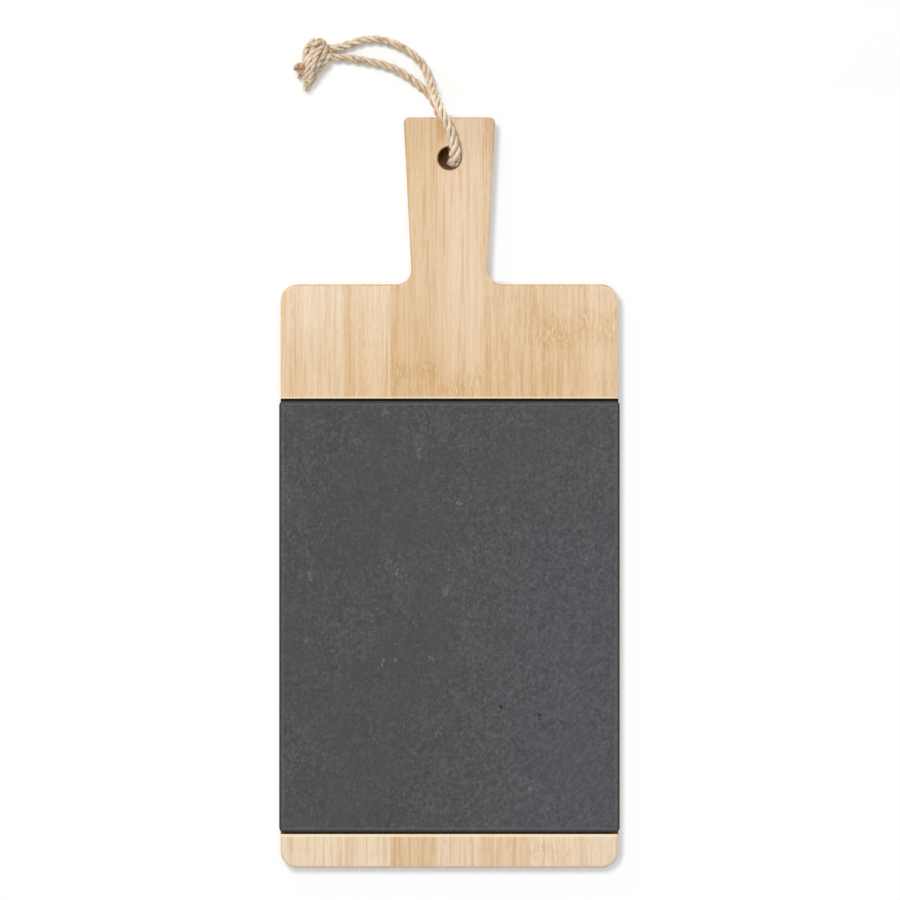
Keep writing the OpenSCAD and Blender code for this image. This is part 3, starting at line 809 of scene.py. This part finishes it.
stone, tree, shader, where = finish("slate", roughness=0.62, specular=0.42)
x, y, z = split(where)
grit = cloud(where, (760, 620, 760), 1.0)
mottle = cloud(where, (480, 390, 480), 1.0, 0.6)
clouds = cloud(where, (64, 44, 64), 4.0, 0.6)
coarse = fade(cloud(where, (26, 22, 26)), 0.38, 0.60, 0.52, 0.96)
leaning = place(tree, "ShaderNodeVectorRotate", {"Vector": where, "Angle": 0.75},
                rotation_type="Z_AXIS")
streaks = cloud(leaning, (620, 150, 620), 3.0)
scratches = cloud(where, (900, 45, 900))
rock = tinted(times(fade(x, -0.05, 0.07), fade(y, 0.04, -0.05, 0.5, 1.0)),
              (66, 66, 66), (74, 73, 79))
for pattern, start, end, most, tint in (
        (clouds, 0.42, 0.66, 0.6, (77, 77, 81)), (mottle, 0.50, 0.70, 0.56, (95, 95, 95)),
        (mottle, 0.50, 0.30, 0.56, (51, 51, 51)), (grit, 0.52, 0.72, 0.30, (109, 109, 110)),
        (grit, 0.48, 0.30, 0.30, (39, 39, 39)), (scratches, 0.56, 0.72, 0.18, (97, 97, 98)),
        (scratches, 0.44, 0.28, 0.18, (51, 51, 51))):
    rock = tinted(times(coarse, fade(pattern, start, end, 0.0, most)), rock, tint)
low_right = times(fade(x, -0.01, 0.05), fade(y, -0.02, -0.11))
rock = tinted(times(low_right, fade(streaks, 0.5, 0.68, 0.0, 0.28)), rock, (104, 103, 110))


def spots(places, ragged):
    """1 in the middle of each spot and 0 outside them, with ragged edges."""
    found = 0.0
    for (column, row), radius in places:
        apart = away_from((*at_pixel(column, row), 0.0), where, (1.0, 0.8, 0.0))
        apart = plus(apart, times(minus(mottle, 0.5), ragged))
        found = value_of("MAXIMUM", found, fade(apart, radius, radius * 0.35))
    return found


pit = spots(pits, 0.0009)
chipped = times(spots([(at, 1.7 * radius) for at, radius in pale_chips], 0.008),
                fade(grit, 0.40, 0.60, 0.12, 0.36))
rock = tinted(chipped, rock, (138, 138, 140))
from_speck = place(tree, "ShaderNodeTexVoronoi", {
    "Vector": vector_of("MULTIPLY", where, (210.0, 160.0, 0.0)), "Scale": 1.0})
rare = split(from_speck.node.outputs["Color"])[0]
rock = tinted(times(fade(from_speck, 0.16, 0.05, 0.0, 0.28), fade(rare, 0.86, 0.9)),
              rock, (140, 140, 142))
# The pits are painted nearly black, as painted shade in their hollows
rock = tinted(pit, rock, (22, 22, 24))
# Painted shade darkens its eased edges and a narrow band inside them, and a thin painted highlight
# lies where the cleft face begins
slope = unsigned(split(place(tree, "ShaderNodeNewGeometry", out="Normal"))[2])
rock = tinted(fade(slope, 0.93, 0.6, 0.0, 0.8), rock, (30, 30, 32))
# A painted shadow of the bamboo lies along its upper edge
rock = tinted(fade(y, slate_high.y - 0.0008, slate_high.y - 0.0003), rock, (14, 14, 15))
from_edge = value_of("MINIMUM", minus(slate_high.x, unsigned(x)),
                     apart_from(y, slate_low.y, slate_high.y))
rock = tinted(times(fade(from_edge, 0.0026, 0.0020), fade(from_edge, 0.0011, 0.0018, 0.0, 0.3)),
              rock, (112, 112, 116))
rock = tinted(fade(from_edge, 0.0017, 0.0009, 0.0, 0.6), rock, (34, 34, 36))
surfaced(shader, rock, minus(plus(mottle, times(grit, 0.5)), times(pit, 3.0)), 0.00008, 0.35,
         rough=fade(mottle, 0.3, 0.7, 0.54, 0.72))
slate.data.materials.append(stone)
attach(slate, "root")
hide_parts("slate_tile")


# The adhesive: five beads of clear silicone, pressed flat between the slate and the floor
# of the dado. They squeeze out unevenly and stop well inside the tile's ends.
bead_low, bead_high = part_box("silicone_beads")
bead_count = 5
bead_width = 0.008
bead_pitch = (bead_high.x - bead_low.x - bead_width) / (bead_count - 1)

silicone, tree, shader, where = finish("silicone", roughness=0.3, specular=0.5)
haze = cloud(where, (260, 60, 260), 3.0)
surfaced(shader, tinted(haze, (226, 226, 220), (204, 203, 194)), haze, 0.0002, 0.4)
shader.inputs["Subsurface Weight"].default_value = 0.25
shader.inputs["Subsurface Scale"].default_value = 0.001

bead_tree, given, made = new_tree("pressed_beads", {
    "Beads": "Int", "Pitch": "Float", "Width": "Float", "Thickness": "Float"})
oval = place(bead_tree, "GeometryNodeTransform", {
    "Geometry": place(bead_tree, "GeometryNodeCurvePrimitiveCircle",
                      {"Resolution": 16, "Radius": 1.0}),
    "Scale": joined(times(given["Width"], 0.5), times(given["Thickness"], 0.5), 1.0)})
bead = place(bead_tree, "GeometryNodeCurveToMesh", {
    "Curve": place(bead_tree, "GeometryNodeMeshToCurve", {0: given["Geometry"]}),
    "Profile Curve": oval, "Scale": carried(bead_tree, "thick"), "Fill Caps": True})
stations = place(bead_tree, "GeometryNodeMeshLine",
                 {"Count": given["Beads"], "Offset": joined(given["Pitch"])})
close_tree(place(bead_tree, "GeometryNodeInstanceOnPoints",
                 {"Points": stations, "Instance": bead}), silicone, made)

first_bead = laid_path([
    Vector((bead_low.x + bead_width / 2, y, (bead_low.z + bead_high.z) / 2))
    for y in (bead_low.y, bead_low.y + 0.05, bead_high.y - 0.05, bead_high.y)], 0.002)
bead_widths = []
for p in first_bead:
    from_end = min(p.y - bead_low.y, bead_high.y - p.y)
    rounded = math.sqrt(min(1.0, max(0.0, from_end / (bead_width / 2))))
    uneven = 0.93 + 0.06 * noise.noise(Vector((0.0, p.y * 60, 0.0)))
    bead_widths.append(max(0.05, rounded * uneven))
adhesive = grown("silicone_pressed_beads", thread("bead", [
    {"at": first_bead, "thick": bead_widths}]), bead_tree, {
        "Beads": bead_count, "Pitch": bead_pitch, "Width": bead_width,
        "Thickness": bead_high.z - bead_low.z})
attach(adhesive, "root")
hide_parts("silicone_beads")


# The feet: four stick-on bumpers, moulded in dark rubber, each with an adhesive pad on top
# and a shallow dimple in its tip.
rubber, tree, shader, where = finish("foot_rubber", roughness=0.75, specular=0.3)
dust = cloud(where, (700, 700, 700), 4.0)
surfaced(shader, tinted(fade(dust, 0.5, 0.8, 0.0, 0.6), (58, 57, 56), (92, 90, 86)),
         dust, 0.0001, 0.4)
foot_turns = 48


def bumper(node):
    """A foot turned about its own middle, inside the box of its node."""
    low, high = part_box(node)
    middle, tall = (low + high) / 2, high.z - low.z
    wide = (high.x - low.x) / 2
    outline = [  # share of its radius, height above its tip
        (0.0, 0.0006), (0.35, 0.0005), (0.48, 0.0001), (0.56, 0.0), (0.66, 0.0),
        (0.72, 0.00015), (0.765, 0.0006), (0.80, 0.0014), (0.87, 0.0028), (0.925, 0.0039),
        (0.94, 0.0042), (0.90, 0.00432), (0.90, 0.00445), (0.985, 0.0045), (1.0, 0.00465),
        (1.0, tall), (0.0, tall)]
    work = bmesh.new()
    spun = []
    for share, height in outline:
        if share == 0.0:
            spun.append([work.verts.new((middle.x, middle.y, low.z + height))] * foot_turns)
            continue
        spun.append([work.verts.new((
            middle.x + wide * share * math.cos(2 * math.pi * k / foot_turns),
            middle.y + wide * share * math.sin(2 * math.pi * k / foot_turns),
            low.z + height)) for k in range(foot_turns)])
    for inner, outer in zip(spun, spun[1:]):
        for k in range(foot_turns):
            n = (k + 1) % foot_turns
            corners = [inner[k], outer[k], outer[n], inner[n]]
            work.faces.new(list(dict.fromkeys(corners)))
    bmesh.ops.recalc_face_normals(work, faces=work.faces)
    piece = set_out(node + "_bumper", mesh_of(work, node + "_bumper", 45))
    piece.data.materials.append(rubber)
    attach(piece, "root")
    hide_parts(node)


for node in ("foot_handle_left", "foot_handle_right", "foot_strip_left", "foot_strip_right"):
    bumper(node)


# The studio: a white table under soft light that comes from above, a little from the top
# and the left of the picture. The table is seen as pure white, but keeps the shadows.
table_material, tree, shader, where = finish("table", roughness=1.0, specular=0.0)


def outside(middle, half, corner, flare=0.0):
    """How far a place on the table is outside a rectangle with round corners, below 0 where
    it is inside. With a flare its sides slant outwards as y grows."""
    offset = vector_of("SUBTRACT", where, middle)
    slant = joined(times(split(offset)[1], flare))
    inner = vector_of("ADD", slant, (half[0] - corner, half[1] - corner, 0))
    apart = vector_of("SUBTRACT", vector_of("ABSOLUTE", offset), inner)
    x, y, _ = split(apart)
    beyond = vector_of("LENGTH", vector_of("MAXIMUM", apart, (0, 0, 0)), out=1)
    within = value_of("MINIMUM", value_of("MAXIMUM", x, y), 0.0)
    return minus(plus(beyond, within), corner)


def outside_board(shift):
    """How far a place on the table is outside the board, moved by a shift."""
    return value_of("SMOOTH_MIN", outside(blade_middle + shift, blade_half, blade_corner), outside(
        handle_middle + shift, handle_half, handle_corner, handle_flare), 0.004)


open_table = fade(outside_board(Vector((0, 0, 0))), -0.009, -0.004)
x, y, _ = split(where)
# Under the board the table is painted dark brown, as painted shade, and lighter towards the lower
# right of the hole, as painted light that the hole's wall throws down
from_left = minus(x, minus(y, hole_middle[1]))
shaded = tinted(fade(from_left, -0.007, 0.004), (0.30, 0.13, 0.03, 1.0), (1.0, 0.72, 0.42, 1.0))
tree.links.new(tinted(open_table, shaded, (0.98, 0.98, 0.98, 1.0)), shader.inputs["Base Color"])
# Shadows show close to the board and round the cord, and elsewhere the table glows
share = value_of("MINIMUM", fade(y, 0.222, 0.202, 0.15, 1.0), fade(
    outside_board(Vector((0.0009, -0.0008, 0))), 0.0, 0.0036, 0.36, 0.97))
glow = place(tree, "ShaderNodeEmission", {"Color": (1.0, 1.0, 1.0, 1.0), "Strength": 1.0})
seen = times(open_table, place(tree, "ShaderNodeLightPath", out="Is Camera Ray"), share)
tree.links.new(place(tree, "ShaderNodeMixShader", {0: seen, 1: shader.outputs[0], 2: glow}),
               tree.nodes["Material Output"].inputs["Surface"])
mesh = bpy.data.meshes.new("table")
mesh.from_pydata([(-3, -3, 0), (3, -3, 0), (3, 3, 0), (-3, 3, 0)], [], [(0, 1, 2, 3)])
mesh.materials.append(table_material)
set_out("table", mesh)

softbox = bpy.data.lights.new("softbox", "AREA")
softbox.shape = "DISK"
softbox.size = 1.3
softbox.energy = 113
lamp = set_out("softbox", softbox)
lamp.location = (-1.5, 2.2, 3.3)
lamp.rotation_euler = (-lamp.location).to_track_quat("-Z", "Y").to_euler()

world = bpy.data.worlds.new("studio")
bpy.context.scene.world = world
world.use_nodes = True
tree = world.node_tree
sky = tree.nodes["Background"]
sky.inputs["Strength"].default_value = 1.0
tree.links.new(tinted(place(tree, "ShaderNodeLightPath", out="Is Camera Ray"),
                      (0.52, 0.52, 0.52, 1.0), (1.0, 1.0, 1.0, 1.0)), sky.inputs["Color"])
